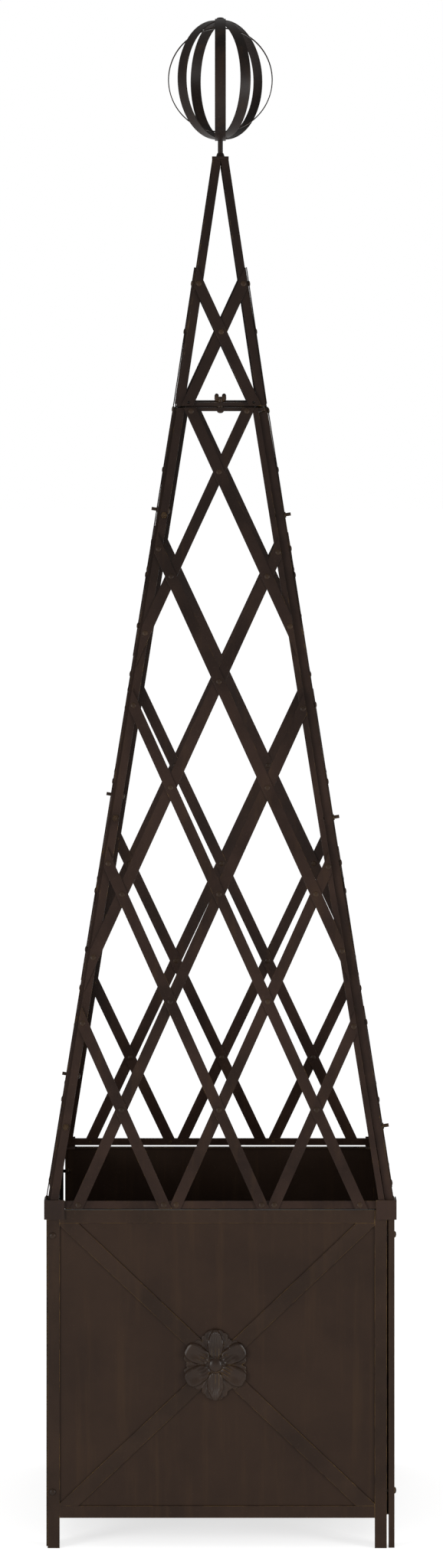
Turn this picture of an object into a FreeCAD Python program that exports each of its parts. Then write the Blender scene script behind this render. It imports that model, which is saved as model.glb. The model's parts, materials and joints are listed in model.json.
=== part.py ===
# Square floor planter on four legs with a tall pyramid trellis and a hoop finial.
# Own frame in millimetres: +Z up, origin at the centre of the floor under the planter, front at -Y.
# Every panel is drawn in its own plane: local X across it, local Y up it, local Z outwards,
# with local Z = 0 on the outer face of its bars. The four sides are quarter turns of one another.
import FreeCAD, Part
import math
import os
import re

doc = FreeCAD.newDocument("PlanterWithTrellis")
sheet = doc.addObject("Spreadsheet::Sheet", "Sizes")

# ---------------------------------------------------------------- driving dimensions (mm, degrees)
SIZES = [
    # planter frame
    ("planter_half", 247.2),       # centre to the outer face of a side
    ("planter_top", 480.0),        # floor to the top of the planter
    ("foot_height", 43.0),         # floor to the bottom rail
    ("leg_face", 17.0),            # visible width of a leg
    ("left_inset", 2.2),           # a side's left end stands back from the corner by this
    ("left_return", 8.5),          # depth of a left leg's turned edge
    ("corner_gap", 2.6),           # open slit beside a right leg
    ("right_return", 14.0),        # depth of a right leg's turned edge
    ("frame_wall", 2.0),           # wall of the planter's bars
    ("rail_low", 17.0),            # height of the bottom rail
    ("rail_high", 18.5),           # height of the top rail
    ("top_flange", 8.5),           # depth of the top rail's turned edge
    ("ledge", 18.0),               # depth of the bottom rail's turned edge
    ("sheet_wall", 1.2),           # side sheet
    ("sheet_clear", 0.3),          # clearance round a side sheet inside its frame
    # cross straps and rosette
    ("cross_width", 20.3),
    ("cross_angle", 43.44),        # slope of the cross straps, degrees
    ("rosette_core", 34.0),        # radius of the rosette's backing disc
    ("rosette_plate", 1.6),
    ("petal_place", 31.0),         # centre to the middle of a petal
    ("petal_long", 21.0),          # half length of a petal
    ("petal_wide", 13.5),          # half width of a petal
    ("petal_rise", 5.4),           # how far a petal stands out
    ("dome_radius", 11.5),
    ("dome_rise", 7.0),
    # corner bolts of the planter and nuts of both
    ("bolt_radius", 2.5),
    ("bolt_clear", 0.2),           # radial clearance of a bolt in its hole
    ("head_radius", 4.6),
    ("head_rise", 2.6),
    ("seat_clear", 0.25),          # clearance under a head or a nut
    ("bolt_inset", 9.2),           # planter bolt axis behind the side's face
    ("bolt_high", 444.0),
    ("bolt_low", 80.0),
    ("nut_flats", 8.0),
    ("nut_height", 3.4),
    ("thread_end", 10.8),          # how far a trellis bolt stands out past the bar
    # tray
    ("tray_clear", 9.2),           # outer face of the planter to the tray's side
    ("tray_notch", 24.0),          # side of the square cut from each tray corner
    ("tray_wall", 1.6),
    ("tray_rim", 15.0),
    ("drain_radius", 6.0),
    ("drain_spread", 120.0),
    # corner collars
    ("collar_clear", 1.0),         # clearance of a collar round the planter
    ("collar_wall", 1.8),
    ("collar_arm", 29.0),
    ("collar_drop", 13.0),         # how far a collar reaches below the planter's top
    ("collar_height", 27.5),
    ("seat_plate", 2.0),           # plate that stands on the legs inside a collar
    # lower trellis
    ("base_inset", 0.1),           # bar face behind the planter's face at the base
    ("joint_half", 66.97),         # centre to the bar face at the top of the lower trellis
    ("lower_length", 1147.0),      # length of a lower panel along its slope
    ("trellis_wall", 2.0),
    ("lower_left_inset", 3.9),
    ("lower_left_face", 11.4),
    ("lower_left_return", 11.0),
    ("lower_right_inset", 12.2),
    ("lower_right_face", 8.5),
    ("lower_right_return", 14.0),
    ("butt_clear", 0.2),           # clearance where one bar meets another
    ("base_rail", 11.0),
    ("trellis_bolt_inset", 6.0),   # bolt axis in from the outer edge of a left bar
    ("trellis_bolt_first", 114.0), # base of the panel to the first bolt
    ("trellis_bolt_drop", 157.6),  # top of the panel to the last bolt
    # lattice
    ("strap_width", 16.0),
    ("strap_wall", 1.5),
    ("lattice_edge", 38.6),        # corner of the base to the lattice's outermost line
    ("last_row_drop", 94.1),       # top of the panel to the last row of crossings
    ("first_row", 138.5),          # base of the panel to the first row
    ("lattice_middle", -2.0),      # the lattice's middle line is off the panel's by this
    ("rivet_radius", 2.0),
    ("rivet_clear", 0.05),
    ("rivet_head", 4.0),
    ("rivet_rise", 1.3),
    ("shoulder_radius", 3.6),      # spacing shoulder under the outer straps
    # rings between the two trellis sections
    ("ring_depth", 14.0),
    ("ring_wall", 5.0),
    ("ring_clear", 0.2),           # clearance behind the bars and between ring rails
    ("joint_gap", 2.8),            # between the two rings
    ("stud_back", 9.4),            # joint bolt's axis behind the face of the lower ring
    ("stud_end", 1.0),             # how far a joint bolt stands out past its wing nut's hub
    ("stud_head_radius", 5.0),
    ("stud_head_rise", 3.2),
    ("spacer_radius", 5.0),
    ("wing_hub", 4.2),
    ("wing_hub_height", 4.4),
    ("wing_place", 5.0),           # axis to the middle of an ear
    ("wing_wide", 3.65),           # half width of an ear
    ("wing_thick", 1.6),           # half thickness of an ear
    ("wing_tall", 5.0),            # half height of an ear
    # upper trellis
    ("upper_step", 0.77),          # upper bar face behind the lower one at the joint
    ("upper_lean", 8.53),
    ("apex_half", 12.06),          # centre to the bar face at the apex
    ("upper_face", 11.5),
    ("upper_left_inset", 2.3),
    ("upper_row", 108.8),          # base to the crossing of the upper straps
    ("upper_middle", 1.2),
    # apex and finial
    ("cap_half", 12.3),
    ("cap_plate", 4.5),
    ("boss_low", 6.4),
    ("boss_high", 4.6),
    ("boss_height", 5.0),
    ("rod_radius", 3.75),
    ("rod_clear", 0.05),
    ("rod_nut_flats", 12.0),
    ("rod_drop", 9.0),             # rod below the apex plate
    ("hoop_rise", 117.3),          # apex to the centre of the hoops
    ("hoop_wall", 1.5),
    ("hoop_width", 16.0),
    ("hoop_first", 90.0),          # outer radius of each hoop
    ("hoop_second", 88.0),
    ("hoop_third", 86.0),
    ("hoop_fourth", 77.0),
    ("rod_head", 5.6),
    ("rod_head_rise", 1.9),
]
DERIVED = {                        # sizes that follow from the driving ones
    "tray_half": "@planter_half - @tray_clear",
    "collar_inner": "@planter_half + @collar_clear",
    "collar_low": "@planter_top - @collar_drop",
    "lower_half": "@planter_half - @base_inset",
    "lower_lean": "asin((@lower_half - @joint_half) / @lower_length)",
    "trellis_bolt_pitch": "(@lower_length - @trellis_bolt_first - @trellis_bolt_drop) / 2",
    "row_pitch": "(@lower_length - @first_row - @last_row_drop) / 6",
    "half_pitch": "(@lower_half - @lattice_edge) / 3",
    "upper_half": "@joint_half - @upper_step",
    "upper_length": "(@upper_half - @apex_half) / sin(@upper_lean)",
    "ring_base": "@planter_top + @seat_plate + @lower_length * cos(@lower_lean) - @ring_wall",
    "upper_base": "@ring_base + @ring_wall + @joint_gap",
    "apex_base": "@upper_base + @upper_length * cos(@upper_lean)",
    "hoop_middle": "@apex_base + @hoop_rise",
}
# turn of each hoop about the rod, degrees
HOOP_TURNS = {"first": 0.0, "second": -39.7, "third": 25.5, "fourth": 90.0}
SIDES = ["front", "right", "back", "left"]
PETALS = 6
BOLT_ROWS = 3
WING_TILT = 14.0                   # outward tilt of a wing nut's ears, degrees
STRAP_FEET = (-7, -5, -3, -1, 1)   # places of the strap feet one row below the first, in half pitches
CROSSINGS = [(0, -2), (0, 0), (0, 2), (1, -1), (1, 1), (2, -2), (2, 0), (2, 2), (3, -1), (3, 1),
             (4, 0), (5, -1), (5, 1), (6, 0)]   # row and place of each riveted crossing
MARGIN = 5.0                       # overrun of cutting tools past the faces they cut
X_AXIS = FreeCAD.Vector(1, 0, 0)
Y_AXIS = FreeCAD.Vector(0, 1, 0)
Z_AXIS = FreeCAD.Vector(0, 0, 1)

for row, (alias, number) in enumerate(SIZES, start=1):
    sheet.set("A%d" % row, alias)
    sheet.set("B%d" % row, repr(number))
    sheet.setAlias("B%d" % row, alias)
doc.recompute()

PARTS = []                         # every sub-part that is written out


# ---------------------------------------------------------------- helpers
def spell(formula):
    """A formula with every derived size written out, and every driving one as its cell in the sheet."""
    pattern = re.compile("@(%s)\\b" % "|".join(DERIVED))
    while pattern.search(formula):
        formula = pattern.sub(lambda found: "(%s)" % DERIVED[found.group(1)], formula)
    return formula.replace("@", "Sizes.")


def size(alias):
    """The value of a driving or derived dimension."""
    return float(sheet.evalExpression(spell("@" + alias)))


def vec(x, y, z):
    return FreeCAD.Vector(x, y, z)


def at(x, y, z, rotation=None):
    return FreeCAD.Placement(vec(x, y, z), rotation or FreeCAD.Rotation())


def bind(obj, **formulas):
    """Ties properties to formulas in which a size is written by its alias after an @ sign."""
    for prop, formula in formulas.items():
        obj.setExpression(prop.replace("__", "."), spell(formula))


def keep(obj, label, placement=None):
    """Names a finished sub-part, places it and lists it for writing."""
    obj.Label = label
    if placement is not None:
        obj.Placement = placement
    PARTS.append(obj)
    return obj


def bar(name, low, high, low_edges, high_edges, back, front):
    """A flat bar in a panel with level ends: heights, (left, right) edges at each end, back and front."""
    plate = doc.addObject("Part::Wedge", name)
    bind(plate, Ymin=low, Ymax=high, Xmin=low_edges[0], Xmax=low_edges[1])
    bind(plate, X2min=high_edges[0], X2max=high_edges[1])
    bind(plate, Zmin=back, Zmax=front, Z2min=back, Z2max=front)
    return plate


def block(name, left, right, low, high, back, front):
    return bar(name, low, high, (left, right), (left, right), back, front)


def cylinder(name, radius, height, placement=None):
    rod = doc.addObject("Part::Cylinder", name)
    bind(rod, Radius=radius, Height=height)
    if placement is not None:
        rod.Placement = placement
    return rod


def dome(name, rise, across, along=None):
    """Half an ellipsoid on z = 0: rise, half width across X and, if it differs, along Y."""
    cap = doc.addObject("Part::Ellipsoid", name)
    bind(cap, Radius1=rise, Radius2=across, Radius3=along or across)
    cap.Angle1 = 0
    cap.Angle2 = 90
    return cap


def fuse(name, *objects):
    joined = doc.addObject("Part::MultiFuse", name)
    joined.Shapes = list(objects)
    return joined


def cut(name, base, tool):
    result = doc.addObject("Part::Cut", name)
    result.Base = base
    result.Tool = tool
    return result


def common(name, base, tool):
    result = doc.addObject("Part::Common", name)
    result.Base = base
    result.Tool = tool
    return result


def group(name, objects):
    bundle = doc.addObject("Part::Compound", name)
    bundle.Links = list(objects)
    return bundle


def copies(label, *seeds_and_places):
    """Identical pieces as one sub-part: a separate solid at each placement."""
    solids = []
    for seed, places in seeds_and_places:
        for place in places:
            solids.append(seed.Shape.transformed(place.toMatrix(), True))
    feature = doc.addObject("Part::Feature", label)
    feature.Shape = Part.makeCompound(solids)
    return keep(feature, label)


def panel(index, half, base, lean):
    """Placement of a panel: half from the centre to its face at its base height, leaning inwards."""
    turn = FreeCAD.Rotation(Z_AXIS, 90.0 * index)
    tilt = turn.multiply(FreeCAD.Rotation(X_AXIS, 90.0 - lean))
    return FreeCAD.Placement(turn.multVec(vec(0, -half, base)), tilt)


def four(label, seed, places):
    """One node per side: the same seed in each of the four panels."""
    for side, place in zip(SIDES, places):
        keep(group(side + label, [seed]), side + "_" + label, place)


# ---------------------------------------------------------------- places worked out once
lower_slope = math.sin(math.radians(size("lower_lean")))
lower_top = size("planter_top") + size("seat_plate")
ring_low = size("ring_base")
upper_base = size("upper_base")
upper_slope = math.sin(math.radians(size("upper_lean")))
apex = size("apex_base")

UPRIGHT = [panel(i, size("planter_half"), 0.0, 0.0) for i in range(4)]
LOWER = [panel(i, size("lower_half"), lower_top, size("lower_lean")) for i in range(4)]
UPPER = [panel(i, size("upper_half"), upper_base, size("upper_lean")) for i in range(4)]


# ---------------------------------------------------------------- fastener seeds
def headed_pin(name, radius, length, head_radius, head_rise, gap="0"):
    """A pin along -Z from a low dome whose flat side lies a gap above z = 0."""
    head = dome(name + "Head", head_rise, head_radius)
    bind(head, Placement__Base__z=gap)
    pin = cylinder(name + "Shank", radius, "%s + %s" % (length, gap))
    bind(pin, Placement__Base__z="-(%s)" % length)
    return fuse(name, head, pin)


def hex_nut(name, radius):
    blank = doc.addObject("Part::Prism", name + "Blank")
    blank.Polygon = 6
    bind(blank, Circumradius="@nut_flats / sqrt(3)", Height="@nut_height")
    return cut(name, blank, cylinder(name + "Bore", radius, "@nut_height"))


def wing_nut():
    """A two-eared nut that stands on z = 0 round a bolt."""
    pieces = [cylinder("WingHub", "@wing_hub", "@wing_hub_height")]
    for side in (-1, 1):
        ear = doc.addObject("Part::Ellipsoid", "WingEar")
        bind(ear, Radius1="@wing_tall", Radius2="@wing_wide", Radius3="@wing_thick")
        ear.Placement = at(side * size("wing_place"), 0, size("wing_tall") + size("seat_clear"),
                           FreeCAD.Rotation(Y_AXIS, WING_TILT * side))
        pieces.append(ear)
    bore = cylinder("WingBore", "@bolt_radius + @rivet_clear", "@wing_tall * 4")
    bind(bore, Placement__Base__z="-@wing_tall")
    return cut("WingNut", fuse("WingBlank", *pieces), bore)


def rivet(name, stack, tail=False, shoulder=False):
    """A rivet along -Z with a head on z = 0, a domed or flush tail and, at need, a spacing shoulder."""
    head = dome(name + "Head", "@rivet_rise", "@rivet_head")
    pin = cylinder(name + "Pin", "@rivet_radius", stack)
    bind(pin, Placement__Base__z="-(%s)" % stack)
    pieces = [head, pin]
    if tail:
        end = dome(name + "Tail", "@rivet_rise", "@rivet_head")
        end.Placement = at(0, 0, 0, FreeCAD.Rotation(X_AXIS, 180))
        bind(end, Placement__Base__z="-(%s)" % stack)
        pieces.append(end)
    if shoulder:
        ring = cylinder(name + "Shoulder", "@shoulder_radius", "@strap_wall")
        bind(ring, Placement__Base__z="-2 * @strap_wall")
        pieces.append(ring)
    return fuse(name, *pieces)


planter_bolt = headed_pin("PlanterBolt", "@bolt_radius",
                          "@left_return + @corner_gap + @frame_wall + 2 * @nut_height",
                          "@head_radius", "@head_rise", "@seat_clear")
trellis_bolt = headed_pin("TrellisBolt", "@bolt_radius", "@lower_right_inset + @trellis_wall + @thread_end",
                          "@head_radius", "@head_rise", "@seat_clear")
stud = headed_pin("JointBolt", "@bolt_radius",
                  "@ring_wall * 2 + @joint_gap + @wing_hub_height + @stud_end", "@stud_head_radius",
                  "@stud_head_rise")
bolt_nut = hex_nut("BoltNut", "@bolt_radius + @rivet_clear")
wing_nut_seed = wing_nut()
crossing_rivet = rivet("CrossingRivet", "2 * @strap_wall", tail=True)
inner_rivet = rivet("InnerRivet", "@strap_wall + @trellis_wall")
outer_rivet = rivet("OuterRivet", "2 * @strap_wall + @trellis_wall", shoulder=True)


# ---------------------------------------------------------------- planter sides
FACE_LEFT = "-(@planter_half - @left_inset)"
FACE_RIGHT = "(@planter_half - @left_return - @corner_gap)"
WINDOW_LEFT = "(%s + @leg_face)" % FACE_LEFT
WINDOW_RIGHT = "(%s - @leg_face)" % FACE_RIGHT
RAIL_TOP = "(@foot_height + @rail_low)"
RAIL_UNDER = "(@planter_top - @rail_high)"
BACK = "-@frame_wall"

face_left = -(size("planter_half") - size("left_inset"))
face_right = size("planter_half") - size("left_return") - size("corner_gap")
window_middle = (face_left + face_right) / 2
cross_height = (size("foot_height") + size("rail_low") + size("planter_top") - size("rail_high")) / 2


def planter_bolt_places(index):
    """The bolts through a side's left leg into the right leg of the side before it; heads outside."""
    across = -(size("planter_half") - size("bolt_inset"))
    return [UPRIGHT[index] * at(across, height, 0) for height in (size("bolt_low"), size("bolt_high"))]


def drills(name, places, seat, reach, radius="@bolt_radius + @bolt_clear"):
    """Clearance holes along -Z of each placement, started above it."""
    tools = []
    for place in places:
        tools.append(cylinder(name + "Hole", radius, reach, place * at(0, 0, -seat)))
    return group(name + "Holes", tools)


def planter_sides():
    seat = size("left_return") + size("corner_gap") + 2 * MARGIN
    reach = "@left_return + @corner_gap + %s" % (3 * MARGIN)
    to_seed = UPRIGHT[0].inverse()
    own = [to_seed * place for place in planter_bolt_places(0)]
    neighbour = [to_seed * place for place in planter_bolt_places(1)]
    left = fuse("LeftLeg",
                block("LeftLegFace", FACE_LEFT, WINDOW_LEFT, "0", "@planter_top", BACK, "0"),
                block("LeftLegEdge", FACE_LEFT, FACE_LEFT + " + @frame_wall", "0", "@planter_top",
                      "-@left_return", "0"))
    four("left_leg", cut("LeftLegDrilled", left, drills("LeftLeg", own, seat, reach)), UPRIGHT)
    right = fuse("RightLeg",
                 block("RightLegFace", WINDOW_RIGHT, FACE_RIGHT, "0", "@planter_top", BACK, "0"),
                 block("RightLegEdge", FACE_RIGHT + " - @frame_wall", FACE_RIGHT, "0", "@planter_top",
                       "-@right_return", "0"))
    four("right_leg", cut("RightLegDrilled", right, drills("RightLeg", neighbour, seat, reach)), UPRIGHT)
    low = fuse("BottomRail",
               block("BottomRailFace", WINDOW_LEFT, WINDOW_RIGHT, "@foot_height", RAIL_TOP, BACK, "0"),
               block("BottomRailLedge", WINDOW_LEFT, WINDOW_RIGHT, "@foot_height",
                     "@foot_height + @frame_wall", "-@ledge", "0"))
    four("bottom_rail", low, UPRIGHT)
    top = fuse("TopRail",
               block("TopRailFace", WINDOW_LEFT, WINDOW_RIGHT, RAIL_UNDER, "@planter_top", BACK, "0"),
               block("TopRailEdge", WINDOW_LEFT, WINDOW_RIGHT, "@planter_top - @frame_wall", "@planter_top",
                     "-@top_flange", "0"))
    four("top_rail", top, UPRIGHT)
    skin = block("SideSheet", FACE_LEFT + " + @frame_wall + @sheet_clear",
                 FACE_RIGHT + " - @frame_wall - @sheet_clear", "@foot_height + @frame_wall + @sheet_clear",
                 "@planter_top - @frame_wall - @sheet_clear", BACK + " - @sheet_wall", BACK)
    four("sheet", cut("SideSheetDrilled", skin, drills("SideSheet", own, seat, reach)), UPRIGHT)


def cross_straps():
    """Two flat straps in the window: one runs through, the other is cut in two by it."""
    trimmed = []
    for name, lean in (("Through", -1), ("Halved", 1)):
        strap = block(name, "-@planter_half * 2", "@planter_half * 2", "-@cross_width / 2",
                      "@cross_width / 2", BACK, "0")
        strap.Placement = at(window_middle, cross_height, 0,
                             FreeCAD.Rotation(Z_AXIS, lean * size("cross_angle")))
        window = block(name + "Window", WINDOW_LEFT, WINDOW_RIGHT, RAIL_TOP, RAIL_UNDER, BACK, "0")
        trimmed.append(common(name + "Trimmed", strap, window))
    halves = cut("HalvedCut", trimmed[1], trimmed[0])
    four("cross", group("CrossStraps", [trimmed[0], halves]), UPRIGHT)


def rosette_seed():
    """Six domed petals round a boss, on a disc. Its flat back lies at z = 0."""
    pieces = [cylinder("RosettePlate", "@rosette_core", "@rosette_plate")]
    for index in range(PETALS):
        petal = dome("Petal", "@petal_rise", "@petal_long", "@petal_wide")
        turn = FreeCAD.Rotation(Z_AXIS, 90 + 360.0 * index / PETALS)
        petal.Placement = FreeCAD.Placement(turn.multVec(vec(size("petal_place"), 0, 0)), turn)
        pieces.append(petal)
    pieces.append(dome("RosetteDome", "@dome_rise", "@dome_radius"))
    return fuse("Rosette", *pieces)


planter_sides()
cross_straps()
rosette = rosette_seed()


# ---------------------------------------------------------------- floor tray
def floor_tray():
    """A shallow pan with cut corners and drain holes that rests on the ledges of the bottom rails."""
    floor = "(@foot_height + @frame_wall)"
    plan = [("@tray_half", "(@tray_half - @tray_notch)"), ("(@tray_half - @tray_notch)", "@tray_half")]
    outer = []
    inner = []
    for across, along in plan:
        for pieces, wall, base in ((outer, "0", floor), (inner, "@tray_wall", floor + " + @tray_wall")):
            pan = doc.addObject("Part::Box", "TrayBlock")
            bind(pan, Length="2 * (%s - %s)" % (across, wall), Width="2 * (%s - %s)" % (along, wall))
            bind(pan, Height="@tray_rim", Placement__Base__x="-(%s - %s)" % (across, wall))
            bind(pan, Placement__Base__y="-(%s - %s)" % (along, wall), Placement__Base__z=base)
            pieces.append(pan)
    drains = []
    for column in (-1, 0, 1):
        for line in (-1, 0, 1):
            drain = cylinder("TrayDrain", "@drain_radius", "@tray_wall * 3")
            bind(drain, Placement__Base__x="@drain_spread * %d" % column)
            bind(drain, Placement__Base__y="@drain_spread * %d" % line)
            bind(drain, Placement__Base__z=floor + " - @tray_wall")
            drains.append(drain)
    pan = cut("TrayPan", fuse("TrayBlank", *outer), fuse("TrayHollow", *inner))
    return cut("TrayDrained", pan, group("TrayDrains", drains))


keep(floor_tray(), "floor_tray")


# ---------------------------------------------------------------- lower trellis
def edge(inset, height, side=1):
    """Formula of a lower panel's slanting edge line: inset from the pyramid's corner, at a height."""
    return "%d * (@lower_half - %s - (%s) * sin(@lower_lean))" % (side, inset, height)


def stand(depth):
    """Height in the panel's plane where a bar of this depth has its whole foot above the base."""
    return "%s * tan(@lower_lean)" % depth


def slanting(name, inner, outer, side, high, back, low):
    """A bar that follows the slanting edge, between two insets from the corner."""
    edges = []
    for height in (low, high):
        ends = [edge(inner, height, side), edge(outer, height, side)]
        edges.append(tuple(ends if side > 0 else reversed(ends)))
    return bar(name, low, high, edges[0], edges[1], back, "0")


def corner(height):
    return size("lower_half") - height * lower_slope


def trellis_bolt_places(index):
    """Bolts through a side's left angle into the right angle of the side before it; heads inside."""
    places = []
    for step in range(BOLT_ROWS):
        height = size("trellis_bolt_first") + step * size("trellis_bolt_pitch")
        across = -(corner(height) - size("lower_left_inset") - size("trellis_bolt_inset"))
        places.append(LOWER[index] * at(across, height, 0))
    return places


def strap_line(foot, lean, height):
    """Middle of a lattice strap at a height; lean is +1 to the right and -1 to the left."""
    rows = (height - size("first_row")) / size("row_pitch") + 1
    return size("lattice_middle") + lean * size("half_pitch") * (foot + rows)


def meet(foot, lean, line):
    """Height where a strap's middle line meets a straight slanting line, given as a function of height."""
    strap_slope = strap_line(foot, lean, 1) - strap_line(foot, lean, 0)
    return (line(0) - strap_line(foot, lean, 0)) / (strap_slope - line(1) + line(0))


def strap_ends(foot, lean):
    """Both riveted ends of a strap as (across, height), on whichever bar it reaches first."""
    half_face = size("lower_left_face") / 2
    left = lambda height: -(corner(height) - size("lower_left_inset") - half_face)
    right = lambda height: corner(height) - size("lower_right_inset") - size("lower_right_face") / 2
    near, far = (left, right) if lean > 0 else (right, left)
    low = max(size("base_rail") / 2, meet(foot, lean, near))
    high = min(size("lower_length") - size("ring_wall"), meet(foot, lean, far))
    return [(strap_line(foot, lean, low), low), (strap_line(foot, lean, high), high)]


def lattice_layer(name, lean, back, front):
    """Every strap of one direction, clipped to the panel's outline."""
    half = "@strap_width / 2 / cos(atan(@half_pitch / @row_pitch))"
    straps = []
    for foot in STRAP_FEET:
        edges = []
        for height in ("-%s" % MARGIN, "(@lower_length + %s)" % MARGIN):
            middle = "(@lattice_middle + %d * @half_pitch * (%d + 1 + (%s - @first_row) / @row_pitch))" % (
                lean, foot, height)
            edges.append((middle + " - " + half, middle + " + " + half))
        strap = bar(name + "Strap", "-%s" % MARGIN, "@lower_length + %s" % MARGIN, edges[0], edges[1],
                    back, front)
        outline = bar(name + "Outline", "0", "@lower_length",
                      (edge("@lower_left_inset", "0", -1), edge("@lower_right_inset", "0")),
                      (edge("@lower_left_inset", "@lower_length", -1),
                       edge("@lower_right_inset", "@lower_length")), back, front)
        straps.append(common(name + "Clipped", strap, outline))
    return group(name, straps)


crossing_spots = []
for line, place in CROSSINGS:
    crossing_spots.append((size("lattice_middle") + place * size("half_pitch"),
                           size("first_row") + line * size("row_pitch")))
inner_spots = [spot for foot in STRAP_FEET for spot in strap_ends(foot, 1)]
outer_spots = [spot for foot in STRAP_FEET for spot in strap_ends(foot, -1)]


def rivet_drills(name, spots, radius="@rivet_radius + @rivet_clear"):
    places = [at(across, height, 4 * MARGIN) for across, height in spots]
    return drills(name, places, 8 * MARGIN, "%s" % (8 * MARGIN), radius)


def lower_trellis():
    under_ring = "(@lower_length - @ring_wall / cos(@lower_lean) - 5 * @ring_clear)"
    to_seed = LOWER[0].inverse()
    left = fuse("LowerAngle",
                slanting("LowerAngleFace", "(@lower_left_inset + @lower_left_face)", "@lower_left_inset", -1,
                         "@lower_length", "-@trellis_wall", stand("@trellis_wall")),
                slanting("LowerAngleEdge", "(@lower_left_inset + @trellis_wall)", "@lower_left_inset", -1,
                         under_ring, "-@lower_left_return", stand("@lower_left_return")))
    right = fuse("LowerBar",
                 slanting("LowerBarFace", "(@lower_right_inset + @lower_right_face)", "@lower_right_inset", 1,
                          "@lower_length", "-@trellis_wall", stand("@trellis_wall")),
                 slanting("LowerBarEdge", "(@lower_right_inset + @trellis_wall)", "@lower_right_inset", 1,
                          under_ring, "-@lower_right_return", stand("@lower_right_return")))
    reach = 2 * size("lower_right_inset")
    own = drills("AngleBolt", [to_seed * p for p in trellis_bolt_places(0)], reach, "%s" % (2 * reach))
    other = drills("BarBolt", [to_seed * p for p in trellis_bolt_places(1)], reach, "%s" % (2 * reach))
    ends = rivet_drills("StrapEnd", inner_spots + outer_spots)
    four("lower_angle", cut("LowerAngleDrilled", cut("LowerAngleBolted", left, own), ends), LOWER)
    four("lower_bar", cut("LowerBarDrilled", cut("LowerBarBolted", right, other), ends), LOWER)
    rail = bar("BaseRail", stand("@trellis_wall"), "@base_rail",
               ("-(@lower_half - @lower_left_inset - @lower_left_face - @butt_clear)",
                "@lower_half - @lower_right_inset - @lower_right_face - @butt_clear"),
               (edge("(@lower_left_inset + @lower_left_face + @butt_clear)", "@base_rail", -1),
                edge("(@lower_right_inset + @lower_right_face + @butt_clear)", "@base_rail")),
               "-@trellis_wall", "0")
    base = cut("BaseRailDrilled", rail, ends)
    crossings = rivet_drills("Crossing", crossing_spots)
    layers = []
    for name, lean, back, front, spots in (
            ("InnerLayer", 1, "0", "@strap_wall", inner_spots),
            ("OuterLayer", -1, "@strap_wall", "2 * @strap_wall", outer_spots)):
        tool = group(name + "Tool", [crossings, rivet_drills(name + "End", spots)])
        layers.append(cut(name + "Drilled", lattice_layer(name, lean, back, front), tool))
    four("lattice", group("Lattice", layers), LOWER)
    return base


base_rail = lower_trellis()


# ---------------------------------------------------------------- rings between the sections
def ring_rail(name, half, height):
    """A flat rail of a square ring, seen from the front side; each rail butts against the next."""
    rail = doc.addObject("Part::Box", name)
    side = "(%s - @trellis_wall / cos(@lower_lean) - @ring_clear)" % half
    bind(rail, Length="2 * %s - @ring_depth - @ring_clear" % side, Width="@ring_depth", Height="@ring_wall")
    bind(rail, Placement__Base__x="-%s" % side, Placement__Base__y="-%s" % side)
    rail.Placement.Base = vec(rail.Placement.Base.x, rail.Placement.Base.y, height)
    hole = cylinder(name + "Hole", "@bolt_radius + @bolt_clear", "3 * @ring_wall",
                    at(0, -stud_radius, height - size("ring_wall")))
    return cut(name + "Drilled", rail, hole)


stud_radius = size("joint_half") - size("stud_back")
lower_ring = ring_rail("LowerRing", "@joint_half", ring_low)
upper_ring = ring_rail("UpperRing", "(@upper_half - @ring_wall * sin(@upper_lean))", upper_base)
spacer = cut("Spacer", cylinder("SpacerBlank", "@spacer_radius", "@joint_gap"),
             cylinder("SpacerBore", "@bolt_radius + @bolt_clear", "@joint_gap"))


# ---------------------------------------------------------------- upper trellis
def upper_edge(inset, height, side=1):
    return "%d * (@upper_half - %s - (%s) * sin(@upper_lean))" % (side, inset, height)


upper_tilt = size("half_pitch") / size("row_pitch")


def upper_reach(lean):
    """Height where an upper strap's middle reaches the middle of the slanting bar it leans to."""
    inset = size("upper_face") / 2 + (size("upper_left_inset") if lean < 0 else 0)
    room = size("upper_half") - inset - size("upper_middle") * lean
    return (room + upper_tilt * size("upper_row")) / (upper_tilt + upper_slope)


upper_inner_spots = []
upper_outer_spots = []
for lean, spots in ((1, upper_inner_spots), (-1, upper_outer_spots)):
    for height in (upper_reach(lean), size("ring_wall")):
        spots.append((size("upper_middle") + lean * upper_tilt * (height - size("upper_row")), height))
upper_crossing = [(size("upper_middle"), size("upper_row"))]


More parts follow.
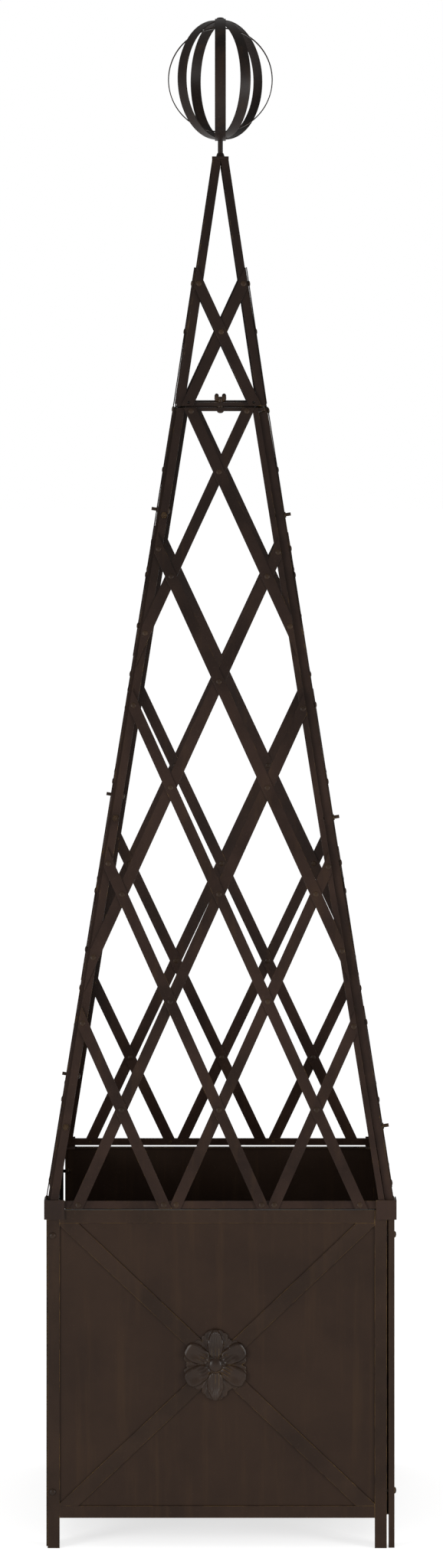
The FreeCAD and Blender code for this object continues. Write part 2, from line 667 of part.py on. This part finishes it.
def upper_trellis():
    halves = []
    ends = rivet_drills("UpperEnd", upper_inner_spots + upper_outer_spots)
    for name, inset, side in (("UpperLeft", "@upper_left_inset", -1), ("UpperRight", "0", 1)):
        wide = "(%s + @upper_face)" % inset
        edges = []
        for height in ("0", "@upper_length"):
            pair = [upper_edge(wide, height, side), upper_edge(inset, height, side)]
            edges.append(tuple(pair if side > 0 else reversed(pair)))
        full = bar(name, "0", "@upper_length", edges[0], edges[1], "-@trellis_wall", "0")
        low, high = ("@butt_clear / 2", "@upper_half") if side > 0 else ("-@upper_half", "-@butt_clear / 2")
        half = block(name + "Half", low, high, "0", "@upper_length", "-@trellis_wall", "0")
        halves.append(cut(name + "Drilled", common(name + "Trimmed", full, half), ends))
    four("upper_bars", group("UpperBars", halves), UPPER)
    half = "@strap_width / 2 / cos(atan(@half_pitch / @row_pitch))"
    layers = []
    for name, lean, back, front, spots in (
            ("UpperInner", 1, "0", "@strap_wall", upper_inner_spots),
            ("UpperOuter", -1, "@strap_wall", "2 * @strap_wall", upper_outer_spots)):
        edges = []
        for height in ("0", "@upper_length"):
            middle = "(@upper_middle + %d * @half_pitch / @row_pitch * (%s - @upper_row))" % (lean, height)
            edges.append((middle + " - " + half, middle + " + " + half))
        strap = bar(name, "0", "@upper_length", edges[0], edges[1], back, front)
        outline = bar(name + "Outline", "0", "@upper_length",
                      (upper_edge("@upper_left_inset", "0", -1), upper_edge("0", "0")),
                      (upper_edge("@upper_left_inset", "@upper_length", -1), upper_edge("0", "@upper_length")),
                      back, front)
        layers.append(cut(name + "Drilled", common(name + "Clipped", strap, outline),
                          rivet_drills(name, upper_crossing + spots)))
    return group("UpperStraps", layers)


upper_straps = upper_trellis()


# ---------------------------------------------------------------- collars
def collar_seed():
    """An angled plate round the right front corner with a seat that stands on the legs."""
    inner = "@collar_inner"
    outer = "(@collar_inner + @collar_wall)"
    pieces = []
    for name, x0, y0, z0, length, width, height in (
            ("CollarFront", outer + " - @collar_arm", "-" + outer, "@collar_low", "@collar_arm",
             "@collar_wall", "@collar_height"),
            ("CollarSide", inner, "-" + outer, "@collar_low", "@collar_wall", "@collar_arm", "@collar_height"),
            ("CollarSeat", outer + " - @collar_arm", "-" + outer, "@planter_top",
             "@collar_arm", "@collar_arm", "@seat_plate")):
        plate = doc.addObject("Part::Box", name)
        bind(plate, Length=length, Width=width, Height=height)
        bind(plate, Placement__Base__x=x0, Placement__Base__y=y0, Placement__Base__z=z0)
        pieces.append(plate)
    return fuse("Collar", *pieces)


collar = collar_seed()


# ---------------------------------------------------------------- apex and finial
def apex_plate():
    plate = doc.addObject("Part::Box", "CapPlate")
    bind(plate, Length="2 * @cap_half", Width="2 * @cap_half", Height="@cap_plate")
    bind(plate, Placement__Base__x="-@cap_half", Placement__Base__y="-@cap_half")
    plate.Placement.Base = vec(plate.Placement.Base.x, plate.Placement.Base.y, apex)
    boss = doc.addObject("Part::Cone", "CapBoss")
    bind(boss, Radius1="@boss_low", Radius2="@boss_high", Height="@boss_height")
    boss.Placement = at(0, 0, apex + size("cap_plate"))
    bore = cylinder("CapBore", "@rod_radius + @rod_clear", "@cap_plate + @boss_height + %s" % (2 * MARGIN),
                    at(0, 0, apex - MARGIN))
    return cut("CapDrilled", fuse("Cap", plate, boss), bore)


keep(apex_plate(), "apex_plate")


def finial_hoop(name):
    """A flat strap bent to a ring about a level axis, with holes for the rod at both poles."""
    radius = "@hoop_" + name
    tilt = FreeCAD.Rotation(Z_AXIS, HOOP_TURNS[name]).multiply(FreeCAD.Rotation(Y_AXIS, 90))
    shift = tilt.multVec(vec(0, 0, -size("hoop_width") / 2))
    place = FreeCAD.Placement(vec(shift.x, shift.y, shift.z + size("hoop_middle")), tilt)
    ring = cut("Hoop" + name, cylinder("HoopOuter" + name, radius, "@hoop_width", place),
               cylinder("HoopInner" + name, radius + " - @hoop_wall", "@hoop_width", place))
    hole = cylinder("HoopHole" + name, "@rod_radius + @rod_clear", "4 * @hoop_first",
                    at(0, 0, size("hoop_middle") - 2 * size("hoop_first")))
    return cut("HoopDrilled" + name, ring, hole)


hoops = group("Hoops", [finial_hoop(name) for name in HOOP_TURNS])
keep(hoops, "finial_hoops")

rod_top = size("hoop_middle") + size("hoop_first") + size("seat_clear")
rod = cylinder("Rod", "@rod_radius", "@hoop_middle + @hoop_first + @seat_clear - %s" % (
    apex - size("rod_drop")), at(0, 0, apex - size("rod_drop")))
rod_head = dome("RodHead", "@rod_head_rise", "@rod_head")
rod_head.Placement = at(0, 0, rod_top)
keep(fuse("FinialRod", rod, rod_head), "finial_rod")
rod_nut = hex_nut("RodNut", "@rod_radius")
bind(doc.getObject("RodNutBlank"), Circumradius="@rod_nut_flats / sqrt(3)")
doc.recompute()

# ---------------------------------------------------------------- groups of like pieces
copies("rosettes", (rosette, [UPRIGHT[i] * at(window_middle, cross_height, 0) for i in range(4)]))
bolt_places = [place for i in range(4) for place in planter_bolt_places(i)]
copies("planter_bolts", (planter_bolt, bolt_places))
inside = size("left_return") + size("corner_gap") + size("frame_wall") + size("seat_clear")
copies("planter_nuts", (bolt_nut, [p * at(0, 0, -inside - size("nut_height")) for p in bolt_places]))
copies("base_rails", (base_rail, LOWER))
quarter = [at(0, 0, 0, FreeCAD.Rotation(Z_AXIS, 90.0 * i)) for i in range(4)]
copies("lower_ring", (lower_ring, quarter))
copies("upper_ring", (upper_ring, quarter))
copies("corner_collars", (collar, quarter))
copies("upper_straps", (upper_straps, UPPER))

thick = 2 * size("strap_wall")
low_crossings = [LOWER[i] * at(u, v, thick) for i in range(4) for u, v in crossing_spots]
high_crossings = [UPPER[i] * at(u, v, thick) for i in range(4) for u, v in upper_crossing]
copies("crossing_rivets", (crossing_rivet, low_crossings + high_crossings))
inner_places = [LOWER[i] * at(u, v, thick / 2) for i in range(4) for u, v in inner_spots]
inner_places += [UPPER[i] * at(u, v, thick / 2) for i in range(4) for u, v in upper_inner_spots[:1]]
outer_places = [LOWER[i] * at(u, v, thick) for i in range(4) for u, v in outer_spots]
outer_places += [UPPER[i] * at(u, v, thick) for i in range(4) for u, v in upper_outer_spots[:1]]
copies("strap_end_rivets", (inner_rivet, inner_places), (outer_rivet, outer_places))

turned = FreeCAD.Rotation(X_AXIS, 180)
wall_back = size("lower_right_inset") + size("trellis_wall")
trellis_places = [place for i in range(4) for place in trellis_bolt_places(i)]
copies("trellis_bolts", (trellis_bolt, [p * at(0, 0, -wall_back, turned) for p in trellis_places]))
copies("trellis_nuts", (bolt_nut, [p * at(0, 0, size("seat_clear")) for p in trellis_places]))

studs = [q * at(0, -stud_radius, ring_low, turned) for q in quarter]
copies("joint_bolts", (stud, studs))
copies("joint_spacers", (spacer, [q * at(0, -stud_radius, ring_low + size("ring_wall")) for q in quarter]))
copies("wing_nuts", (wing_nut_seed, [q * at(0, -stud_radius, upper_base + size("ring_wall")) for q in quarter]))
under_cap = apex - size("seat_clear") - size("nut_height")
copies("finial_nut", (rod_nut, [at(0, 0, under_cap)]))
doc.recompute()

# ---------------------------------------------------------------- checks and files
for obj in doc.Objects:
    faults = [state for state in obj.State if state in ("Invalid", "Error")]
    if faults:
        raise RuntimeError("%s: %s" % (obj.Label, faults))
for obj in PARTS:
    if obj.Shape.isNull() or not obj.Shape.isValid():
        raise RuntimeError("bad shape: " + obj.Label)

os.makedirs("parts", exist_ok=True)
for obj in PARTS:
    obj.Shape.exportStep("parts/%s.step" % obj.Label)
print("%d sub-parts" % len(PARTS))
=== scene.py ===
"""Dresses the planter with its trellis: painted and worn metal, cast rosettes, a white studio."""

import json
import math

import bpy
from mathutils import Matrix, Vector

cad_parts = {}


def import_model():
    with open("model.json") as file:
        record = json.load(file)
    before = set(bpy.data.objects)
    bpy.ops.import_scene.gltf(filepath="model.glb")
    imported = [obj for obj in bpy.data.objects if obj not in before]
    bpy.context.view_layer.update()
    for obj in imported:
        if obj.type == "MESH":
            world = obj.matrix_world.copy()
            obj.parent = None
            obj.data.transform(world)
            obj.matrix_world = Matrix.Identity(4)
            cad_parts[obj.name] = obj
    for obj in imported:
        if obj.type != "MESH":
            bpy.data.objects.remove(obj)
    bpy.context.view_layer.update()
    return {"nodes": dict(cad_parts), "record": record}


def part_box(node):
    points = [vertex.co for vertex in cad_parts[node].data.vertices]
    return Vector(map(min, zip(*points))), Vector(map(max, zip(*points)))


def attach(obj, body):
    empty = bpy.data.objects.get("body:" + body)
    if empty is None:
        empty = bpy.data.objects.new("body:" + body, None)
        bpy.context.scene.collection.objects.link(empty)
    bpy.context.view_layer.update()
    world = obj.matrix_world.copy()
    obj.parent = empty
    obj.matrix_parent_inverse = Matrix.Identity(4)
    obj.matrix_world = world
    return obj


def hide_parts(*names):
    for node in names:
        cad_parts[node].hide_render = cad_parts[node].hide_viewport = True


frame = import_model()
nodes = frame["nodes"]

SIDES = ("front", "right", "back", "left")
MM = 0.001


# ---------------------------------------------------------------- materials
def linear(red, green, blue):
    """A colour given as 0 to 255 screen values, as the renderer wants it."""
    out = []
    for value in (red, green, blue):
        share = value / 255
        out.append(share / 12.92 if share <= 0.04045 else ((share + 0.055) / 1.055) ** 2.4)
    return (*out, 1.0)


class Graph:
    """A material's node tree, built up one node at a time."""

    def __init__(self, name):
        self.material = bpy.data.materials.new(name)
        self.material.use_nodes = True
        self.tree = self.material.node_tree
        self.tree.nodes.clear()

    def add(self, kind, **inputs):
        """A new node; a socket's name is written with _ for each space."""
        node = self.tree.nodes.new(kind)
        for key, value in inputs.items():
            self.feed(node, key.replace("_", " "), value)
        return node

    def feed(self, node, socket, value):
        """Links a socket's output to an input, or sets the input to a plain value."""
        target = node.inputs[int(socket)] if socket.isdigit() else node.inputs[socket]
        if isinstance(value, bpy.types.NodeSocket):
            self.tree.links.new(value, target)
        else:
            target.default_value = value

    def math(self, operation, first, second, clamp=False):
        node = self.tree.nodes.new("ShaderNodeMath")
        node.operation = operation
        node.use_clamp = clamp
        self.feed(node, "0", first)
        self.feed(node, "1", second)
        return node.outputs[0]

    def ramp(self, value, low, high):
        """0 below low, 1 above high, smooth between them."""
        node = self.tree.nodes.new("ShaderNodeMapRange")
        node.interpolation_type = "SMOOTHSTEP"
        self.feed(node, "Value", value)
        self.feed(node, "From Min", low)
        self.feed(node, "From Max", high)
        return node.outputs["Result"]

    def mix(self, share, first, second):
        """The first colour where share is 0, the second where it is 1."""
        node = self.tree.nodes.new("ShaderNodeMix")
        node.data_type = "RGBA"
        self.feed(node, "0", share)
        self.feed(node, "6", first)
        self.feed(node, "7", second)
        return node.outputs[2]

    def noise(self, place, scale, detail=4.0, roughness=0.55, distortion=0.0):
        node = self.add("ShaderNodeTexNoise", Vector=place, Scale=scale, Detail=detail,
                        Roughness=roughness, Distortion=distortion)
        return node.outputs[0]

    def finish(self, shader):
        """Shows a shader's output on the surface and gives back the material."""
        out = self.tree.nodes.new("ShaderNodeOutputMaterial")
        self.tree.links.new(shader.outputs[0], out.inputs[0])
        return self.material


PAINT = linear(50, 36, 27)
PAINT_DARK = linear(38, 26, 18)
PAINT_WARM = linear(62, 45, 30)
WORN = linear(150, 118, 62)
DUST = linear(80, 66, 54)
# Painted shade: the dark colour the trellis paint turns to near its top, in place of light
# falling off with height.
PAINTED_SHADE_COLOUR = linear(20, 14, 11)

# Noise scales count the waves in a metre.
CLOUD_SCALE = 9.0                  # slow change between the two paint colours
STREAK_SCALE = (60.0, 60.0, 4.0)   # runs down the paint
SPECK_SCALE = 420.0                # dust
BREAK_SCALE = 38.0                 # where the wear on an edge stops and starts
RUB_SCALE = 120.0                  # small rubbed marks
PATCH_SCALE = 14.0                 # places where rubbed marks gather
PEEL_SCALE = 900.0                 # orange peel of the paint
WAVE_SCALE = 55.0                  # hand-finished unevenness of the metal

STREAK_SHARE = 0.35                # how far each layer covers the paint
SPECK_SHARE = 0.3
WORN_SHARE = 0.75
WORN_METAL = 0.6
PEEL_STRENGTH, PEEL_DEPTH = 0.12, 0.4 * MM
WAVE_STRENGTH, WAVE_DEPTH = 0.10, 1.0 * MM
GLOSS_CHANGE = 0.35                # how much the roughness follows the clouds
# Painted shade: the trellis paint darkens with height, in place of the light falling off towards
# the top.
SHADE_LOW, SHADE_HIGH = 0.9, 1.8     # height over which the trellis grows darker, m
EDGE_SAMPLES = 4


def paint_colour(g, place, cloud, base, dark, darker_up):
    """Cloudy paint with warm streaks and dust, and painted shade darker towards the top."""
    streak_place = g.add("ShaderNodeMapping", Vector=place, Scale=STREAK_SCALE).outputs[0]
    streak = g.ramp(g.noise(streak_place, 1.0, 4.0, 0.6), 0.5, 0.75)
    speck = g.ramp(g.noise(place, SPECK_SCALE, 3.0, 0.6), 0.62, 0.75)
    # Painted shade: the paint grows darker with height, in place of the light falling off towards
    # the top.
    height = g.add("ShaderNodeSeparateXYZ", Vector=place).outputs["Z"]
    painted_shade = g.ramp(height, SHADE_LOW, SHADE_HIGH)
    colour = g.mix(g.ramp(cloud, 0.32, 0.68), dark, base)
    colour = g.mix(g.math("MULTIPLY", streak, STREAK_SHARE), colour, PAINT_WARM)
    colour = g.mix(g.math("MULTIPLY", speck, SPECK_SHARE), colour, DUST)
    return g.mix(g.math("MULTIPLY", painted_shade, darker_up), colour, PAINTED_SHADE_COLOUR)


def wear_share(g, place, rounded, wear, marks):
    """1 where the paint is worn off: along broken lengths of edge, and in small rubbed marks."""
    normal = g.add("ShaderNodeNewGeometry").outputs["Normal"]
    facing = g.tree.nodes.new("ShaderNodeVectorMath")
    facing.operation = "DOT_PRODUCT"
    g.feed(facing, "0", rounded)
    g.feed(facing, "1", normal)
    rim = g.ramp(g.math("SUBTRACT", 1.0, facing.outputs["Value"]), 0.02, 0.2)
    broken = g.ramp(g.noise(place, BREAK_SCALE, 5.0, 0.7), 0.62 - 0.3 * wear, 0.72 - 0.2 * wear)
    rub = g.ramp(g.noise(place, RUB_SCALE, 6.0, 0.7, 0.6), 0.70, 0.78)
    patch = g.ramp(g.noise(place, PATCH_SCALE, 2.0), 0.55, 0.7)
    rubbed = g.math("MULTIPLY", g.math("MULTIPLY", rub, patch), marks)
    return g.math("ADD", g.math("MULTIPLY", rim, broken), rubbed, clamp=True)


def painted(name, base=PAINT, dark=PAINT_DARK, wear=0.5, edge=0.9, marks=0.15, gloss=0.42,
            shine=0.14, darker_up=0.0):
    """Satin paint over metal: cloudy colour, orange peel, golden metal on worn edges and rubs.

    wear is the share of edge worn bare and edge the width it reaches over, mm; marks is the
    strength of the rubbed marks, gloss the roughness and shine the strength of reflections;
    darker_up is the strength of the painted shade that darkens the paint towards the top.
    """
    g = Graph(name)
    place = g.add("ShaderNodeTexCoord").outputs["Object"]
    cloud = g.noise(place, CLOUD_SCALE, 5.0, 0.6)
    bevel = g.add("ShaderNodeBevel", Radius=edge * MM)
    bevel.samples = EDGE_SAMPLES
    rounded = bevel.outputs[0]
    worn = wear_share(g, place, rounded, wear, marks)
    colour = g.mix(g.math("MULTIPLY", worn, WORN_SHARE),
                   paint_colour(g, place, cloud, base, dark, darker_up), WORN)

    bump = g.add("ShaderNodeBump", Strength=PEEL_STRENGTH, Distance=PEEL_DEPTH,
                 Height=g.noise(place, PEEL_SCALE, 2.0, 0.5), Normal=rounded)
    bump = g.add("ShaderNodeBump", Strength=WAVE_STRENGTH, Distance=WAVE_DEPTH,
                 Height=g.noise(place, WAVE_SCALE, 3.0), Normal=bump.outputs[0])
    uneven = g.math("MULTIPLY", g.math("SUBTRACT", cloud, 0.5), GLOSS_CHANGE)
    shader = g.add("ShaderNodeBsdfPrincipled", Base_Color=colour,
                   Roughness=g.math("ADD", gloss, uneven, clamp=True),
                   Metallic=g.math("MULTIPLY", worn, WORN_METAL),
                   Specular_IOR_Level=shine, Normal=bump.outputs[0])
    return g.finish(shader)


MATERIALS = {
    "planter_paint": painted("planter_paint", wear=0.75, marks=0.2),
    "sheet_paint": painted("sheet_paint", base=linear(48, 34, 25), dark=linear(41, 28, 20),
                           wear=0.4, marks=0.1, gloss=0.5),
    # The trellis paint carries painted shade, darker towards its top (darker_up).
    "trellis_paint": painted("trellis_paint", base=linear(50, 35, 28), dark=linear(34, 23, 18),
                             wear=0.35, edge=0.7, marks=0.25, shine=0.16, darker_up=0.55),
    "finial_paint": painted("finial_paint", base=linear(40, 31, 27), dark=linear(24, 18, 15),
                            wear=0.3, edge=0.7),
    "cast_rosette": painted("cast_rosette", base=linear(49, 36, 27), dark=linear(36, 25, 18),
                            wear=0.6, edge=1.2, marks=0.3, gloss=0.34, shine=0.2),
    "fasteners": painted("fasteners", base=linear(58, 43, 30), dark=linear(36, 26, 20),
                         wear=0.8, edge=0.8, marks=0.8, gloss=0.4, shine=0.16),
    "tray_steel": painted("tray_steel", base=linear(48, 40, 35), dark=linear(36, 29, 25),
                          wear=0.3),
}
for part in frame["record"]["subparts"]:
    for holder in nodes[part["node"]].material_slots:
        holder.material = MATERIALS[part["material_slot"]]


# ---------------------------------------------------------------- rosettes
# Lengths are in mm. The flower lies in its own X and Y, with its heights along Z.
ROSETTE_RISE = 6.6                 # highest point of the boss
ROSETTE_ASIDE = -2.5               # the casting sits a little to one side of the straps' crossing
RINGS = 84
SPOKES = 540

BACK_WALL = 1.6                    # thickness of the leafy edge
BACK_ROUND = 1.2                   # width over which that edge rounds off
VALLEY_REACH = 37.5                # radius of the edge halfway between two petals
PETAL_REACH = 10.0                 # how much farther it reaches at a petal
UPRIGHT_REACH = 3.0                # and farther still at the top and bottom petals
LEAF_REACH = 3.4                   # depth of the serration between petals
LEAF_WAVES = 16.5                  # half the number of leaf points round the edge
VEIN_DEPTH = 0.8
VEIN_START = 24.0                  # radius where the veins of the leaves begin
VEIN_FADE = 2.0

BOSS_RADIUS = 10.5
GROOVE_RADIUS = 13.0               # outer radius of the groove round the boss
GROOVE_FLOOR, GROOVE_SLOPE = 2.2, 0.8

PETALS = 6
PETAL_MIDDLE = 29.5                # radius of a petal's middle
POINTED_PETAL = (22.5, 12.4)       # half length and half width of the top and bottom petals
ROUND_PETAL = (19.5, 13.8)         # and of the other four
PETAL_RISE = 5.2
DISH_DEPTH = 1.9
FLUTE_DEPTH, FLUTE_WAVES = 1.7, 0.62
FLUTES_END = -5.0                  # flutes start at the boss and stop here along a petal
LONG_FLUTES_END = 8.0              # but here on the bottom petal
FLUTES_FADE = 1.8
RIB_DEPTH, RIB_WAVES = 0.5, 1.7


def lobes(angle):
    """1 along the middle of each petal, 0 halfway between two petals."""
    return abs(math.cos(PETALS / 2 * (angle - math.pi / 2)))


def outline(angle):
    """Radius of the leafy serrated edge at an angle."""
    lobe = lobes(angle)
    upright = abs(math.sin(angle)) ** 6
    serration = abs(math.sin(LEAF_WAVES * angle)) ** 0.8
    reach = VALLEY_REACH + (PETAL_REACH + UPRIGHT_REACH * upright) * lobe ** 0.9
    return reach + LEAF_REACH * serration * (1 - lobe) ** 0.6


def petal_height(along, across, pointed, fluted):
    """Height of one petal at a point in its own axes, along it from its middle and across it."""
    length, width = POINTED_PETAL if pointed else ROUND_PETAL
    place = along / length
    if abs(place) >= 1:
        return 0.0
    if pointed and place > 0:
        width *= max(0.04, 1 - place ** 1.7 * 0.85)
    elif place < 0:
        width *= math.sqrt(1 - place ** 2) * 0.95
    else:
        width *= (1 - place ** 4) ** 0.5
    inside = 1 - (across / width) ** 2
    if inside <= 0:
        return 0.0
    depth = min(1.0, (1 - abs(place)) * 3.5) * min(1.0, inside * 2.2)
    rim = PETAL_RISE * depth ** 0.45
    flutes_end = LONG_FLUTES_END if fluted else FLUTES_END
    inner = 1 / (1 + math.exp((along - flutes_end) / FLUTES_FADE))
    relief = FLUTE_DEPTH * abs(math.sin(across * FLUTE_WAVES)) ** 0.6 * inner
    if pointed:
        relief -= RIB_DEPTH * math.cos(across * RIB_WAVES) * (1 - inner)
    else:
        spread = (across / (0.55 * width + 0.1)) ** 2 + ((along - 2) / (0.5 * length)) ** 2
        relief += DISH_DEPTH * math.exp(-spread) * (1 - inner)
    return max(0.0, rim - relief * depth)


def rosette_height(x, y):
    """Height of the flower's face at a point."""
    radius = math.hypot(x, y)
    angle = math.atan2(y, x)
    to_edge = outline(angle) - radius
    height = BACK_WALL * min(1.0, max(0.0, to_edge / BACK_ROUND)) ** 0.5
    if radius > VEIN_START:
        height -= VEIN_DEPTH * abs(math.sin(LEAF_WAVES * angle)) * min(1.0, to_edge / VEIN_FADE)
    for number in range(PETALS):
        degrees = 90 + number * 360 // PETALS
        turn = math.radians(degrees)
        along = x * math.cos(turn) + y * math.sin(turn) - PETAL_MIDDLE
        across = -x * math.sin(turn) + y * math.cos(turn)
        height = max(height, petal_height(along, across, pointed=degrees % 180 == 90,
                                          fluted=degrees == 270))
    if radius < BOSS_RADIUS:
        dome = math.sqrt(1 - (radius / BOSS_RADIUS) ** 2) ** 0.8
        height = max(height, ROSETTE_RISE * dome)
    elif radius < GROOVE_RADIUS:
        height = min(height, GROOVE_FLOOR + GROOVE_SLOPE * (radius - BOSS_RADIUS))
    return height


def rosette_mesh(name):
    """A polar grid: one middle point, rings of points on the face, and a flat back."""
    vertices = [(0.0, 0.0, ROSETTE_RISE)]
    angles = [2 * math.pi * spoke / SPOKES for spoke in range(SPOKES)]
    for ring in range(1, RINGS + 1):
        for angle in angles:
            radius = outline(angle) * ring / RINGS
            x, y = radius * math.cos(angle), radius * math.sin(angle)
            vertices.append((x, y, rosette_height(x, y)))
    for angle in angles:
        radius = outline(angle)
        vertices.append((radius * math.cos(angle), radius * math.sin(angle), 0.0))
    faces = []
    for spoke in range(SPOKES):
        following = (spoke + 1) % SPOKES
        faces.append((0, 1 + spoke, 1 + following))
        for ring in range(RINGS):
            low, high = 1 + ring * SPOKES, 1 + (ring + 1) * SPOKES
            faces.append((low + spoke, high + spoke, high + following, low + following))
    faces.append(tuple(1 + RINGS * SPOKES + spoke for spoke in reversed(range(SPOKES))))
    mesh = bpy.data.meshes.new(name)
    mesh.from_pydata([Vector(vertex) * MM for vertex in vertices], [], faces)
    mesh.shade_smooth()
    return mesh


def rosette(side):
    """The cast flower over the straps' crossing on one side of the planter."""
    name = side + "_rosette"
    piece = bpy.data.objects.new(name, rosette_mesh(name))
    bpy.context.scene.collection.objects.link(piece)
    piece.data.materials.append(MATERIALS["cast_rosette"])
    quarter = Matrix.Rotation(math.radians(90 * SIDES.index(side)), 4, "Z")
    upright = Matrix.Rotation(math.radians(90), 4, "X")
    cross_low, cross_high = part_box("front_cross")
    middle = (cross_low + cross_high) / 2
    place = (middle.x + ROSETTE_ASIDE * MM, cross_low.y, middle.z)
    piece.matrix_world = quarter @ Matrix.Translation(place) @ upright
    bpy.context.view_layer.update()
    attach(piece, "planter")
    return piece


for number, side in enumerate(SIDES):
    flower = rosette(side)
    if number == 0:
        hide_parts("rosettes")


# ---------------------------------------------------------------- studio
WHITE = (1.0, 1.0, 1.0, 1.0)
FLOOR_COLOUR = (0.8, 0.8, 0.8, 1.0)
FLOOR_GLOW = 0.68                  # lifts the floor to plain white outside the shadow
FLOOR_REACH = 30.0                 # from the middle to each edge, m
WORLD_LIGHT = 0.45                 # strength of the even light on the object
WORLD_SEEN = 1.0                   # and as the camera sees it
LAMP_TARGET = (0.0, 0.0, 0.7)
LAMP_SIZE = (1.6, 2.2)
LAMPS = {                          # place in m, power in W
    "front_left": ((-3.6, -3.2, 0.9), 120.0),
    "front_right": ((3.9, -2.6, 0.9), 105.0),
}


def studio_surface(name, colour, glow):
    """A pale surface that takes shadows; the camera sees it lifted by a plain glow."""
    g = Graph(name)
    path = g.add("ShaderNodeLightPath")
    seen = g.math("MAXIMUM", path.outputs["Is Camera Ray"], path.outputs["Is Glossy Ray"])
    seen = g.math("MAXIMUM", seen, path.outputs["Is Transmission Ray"])
    matte = g.add("ShaderNodeBsdfDiffuse", Color=colour)
    lit = g.add("ShaderNodeEmission", Color=WHITE, Strength=g.math("MULTIPLY", seen, glow))
    total = g.tree.nodes.new("ShaderNodeAddShader")
    g.tree.links.new(matte.outputs[0], total.inputs[0])
    g.tree.links.new(lit.outputs[0], total.inputs[1])
    return g.finish(total)


def floor():
    mesh = bpy.data.meshes.new("floor")
    corners = [(-1, -1), (1, -1), (1, 1), (-1, 1)]
    mesh.from_pydata([(x * FLOOR_REACH, y * FLOOR_REACH, 0) for x, y in corners], [],
                     [(0, 1, 2, 3)])
    plane = bpy.data.objects.new("floor", mesh)
    mesh.materials.append(studio_surface("floor_white", FLOOR_COLOUR, FLOOR_GLOW))
    bpy.context.scene.collection.objects.link(plane)


def lamp(name, place, power):
    """A soft rectangular lamp that faces the object."""
    data = bpy.data.lights.new(name, "AREA")
    data.shape = "RECTANGLE"
    data.size, data.size_y = LAMP_SIZE
    data.energy = power
    thing = bpy.data.objects.new(name, data)
    thing.location = place
    aim = Vector(LAMP_TARGET) - Vector(place)
    thing.rotation_euler = aim.to_track_quat("-Z", "Y").to_euler()
    bpy.context.scene.collection.objects.link(thing)


def world():
    """Even white light; the camera, and anything clear before it, sees it as plain white."""
    sky = bpy.data.worlds.new("studio")
    bpy.context.scene.world = sky
    sky.use_nodes = True
    tree = sky.node_tree
    back = tree.nodes["Background"]
    back.inputs["Color"].default_value = WHITE
    path = tree.nodes.new("ShaderNodeLightPath")
    either = tree.nodes.new("ShaderNodeMath")
    either.operation = "MAXIMUM"
    tree.links.new(path.outputs["Is Camera Ray"], either.inputs[0])
    tree.links.new(path.outputs["Is Transmission Ray"], either.inputs[1])
    level = tree.nodes.new("ShaderNodeMapRange")
    tree.links.new(either.outputs[0], level.inputs["Value"])
    level.inputs["To Min"].default_value = WORLD_LIGHT
    level.inputs["To Max"].default_value = WORLD_SEEN
    tree.links.new(level.outputs["Result"], back.inputs["Strength"])


floor()
world()
for lamp_name, (lamp_place, lamp_power) in LAMPS.items():
    lamp(lamp_name, lamp_place, lamp_power)

# ---------------------------------------------------------------- camera
PICTURE_WIDE, PICTURE_TALL = 578.0, 2048.0    # size of the picture in pixels
FOCAL_PIXELS = 6164.0                         # focal length in the same pixels
AXIS_ACROSS, AXIS_DOWN = 287.5, 365.0         # where the optical axis meets the picture
CAMERA_PLACE = (0.0, -6.95, 1.802)
SENSOR_WIDTH = 36.0
FARTHEST = 100.0

camera_data = bpy.data.cameras.new("camera")
camera = bpy.data.objects.new("camera", camera_data)
bpy.context.scene.collection.objects.link(camera)
bpy.context.scene.camera = camera
camera.location = CAMERA_PLACE
camera.rotation_euler = (math.radians(90), 0.0, 0.0)
camera_data.sensor_width = SENSOR_WIDTH
camera_data.lens = FOCAL_PIXELS / PICTURE_TALL * SENSOR_WIDTH
camera_data.shift_x = (PICTURE_WIDE / 2 - AXIS_ACROSS) / PICTURE_TALL
camera_data.shift_y = -(PICTURE_TALL / 2 - AXIS_DOWN) / PICTURE_TALL
camera_data.clip_end = FARTHEST
bpy.context.scene.view_settings.view_transform = "Standard"
